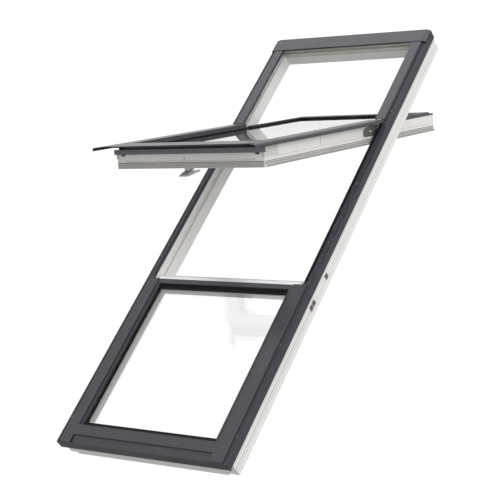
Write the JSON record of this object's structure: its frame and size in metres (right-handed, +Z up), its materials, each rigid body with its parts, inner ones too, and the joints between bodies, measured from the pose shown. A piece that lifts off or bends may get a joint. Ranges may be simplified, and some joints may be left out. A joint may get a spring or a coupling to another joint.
{
  "type": "roof window",
  "caption": "Tall pitched roof window with a fixed lower pane, an upper sash standing open on raised side pivots, grey metal covers and a latch handle.",
  "frame": {"origin": "centre of the sill member's room side, at the lower end of the window", "axes": "+X across the window, +Y into the building and towards the ridge, +Z up; the window plane rises towards +Y at 47 degrees"},
  "size_m": [0.78, 1.6074, 1.6521],
  "materials": {
    "white_frame": "satin white PVC, faint soiling",
    "white_sash": "satin white PVC",
    "grey_metal": "fine satin powder coat, anthracite grey",
    "bare_metal": "brushed, slightly dulled",
    "screws": "zinc plated",
    "black_metal": "black coated steel",
    "rubber": "matt black sealing rubber",
    "grey_seal": "matt grey sealing lip",
    "spacer": "black warm-edge spacer",
    "glass": "clear, slightly green at the edges",
    "pale_block": "pale greenish moulded plastic",
    "black_plastic": "matt black plastic carrier",
    "grey_plastic": "matt grey plastic",
    "handle_metal": "satin metal"
  },
  "bodies": {
    "frame": {"jamb_left": "white_frame", "jamb_right": "white_frame", "head_rail": "white_frame", "sill_rail": "white_frame", "transom_rail": "white_frame", "fixed_stile_left": "black_plastic", "fixed_stile_right": "black_plastic", "fixed_rail_top": "black_plastic", "fixed_rail_bottom": "black_plastic", "fixed_tape": "rubber", "fixed_pane_inner": "glass", "fixed_spacer": "spacer", "fixed_pane_outer": "glass", "fixed_gasket": "rubber", "fixed_beads": "grey_metal", "outer_profile_left": "grey_metal", "outer_profile_right": "grey_metal", "sill_profile": "grey_metal", "head_profile": "grey_metal", "lower_cover_left": "grey_metal", "lower_cover_right": "grey_metal", "bottom_cover": "grey_metal", "transom_cover": "grey_metal", "transom_trim": "bare_metal", "upper_cover_left": "grey_metal", "upper_cover_right": "grey_metal", "hood": "grey_metal", "frame_seals": "rubber", "head_liner": "pale_block", "hinge_plate_left": "black_metal", "hinge_plate_right": "black_metal", "hinge_liners": "bare_metal", "strike_plate": "bare_metal", "cover_screws": "screws", "gutter_clips": "bare_metal", "fixing_sleeves": "grey_plastic"},
    "sash": {"sash_stile_left": "white_sash", "sash_stile_right": "white_sash", "sash_rail_top": "white_sash", "sash_rail_bottom": "white_sash", "corner_block_left": "pale_block", "corner_block_right": "pale_block", "sash_tape": "rubber", "sash_pane_inner": "glass", "sash_spacer": "spacer", "sash_pane_outer": "glass", "sash_gasket": "rubber", "sash_cover_left": "grey_metal", "sash_cover_right": "grey_metal", "sash_bottom_cover": "grey_metal", "sash_top_cover": "grey_metal", "sash_trims": "grey_metal", "drip_flange": "grey_metal", "inner_seal": "grey_seal", "hinge_arm_left": "black_metal", "hinge_arm_right": "black_metal", "sash_screws": "screws", "handle_base": "handle_metal"},
    "handle": {"handle": "handle_metal"},
    "latch": {"latch_bolt": "handle_metal"}
  },
  "joints": [
    {"name": "sash_hinge", "type": "hinge", "parent": "frame", "child": "sash", "pos_m": [0, 1.02147, 1.24202], "axis": [-1, 0, 0], "range_deg": [-39.5, 90]},
    {"name": "handle_turn", "type": "hinge", "parent": "sash", "child": "handle", "pos_m": [-0.018, 0.24633, 1.03911], "axis": [0, -0.1305, 0.9914], "range_deg": [0, 90]},
    {"name": "latch_slide", "type": "slide", "parent": "sash", "child": "latch", "axis": [0, -0.9914, -0.1305], "range_m": [0, 0.016]}
  ],
  "couplings": [
    {"joint": "latch_slide", "follows": "handle_turn", "m_per_rad": 0.010186}
  ]
}
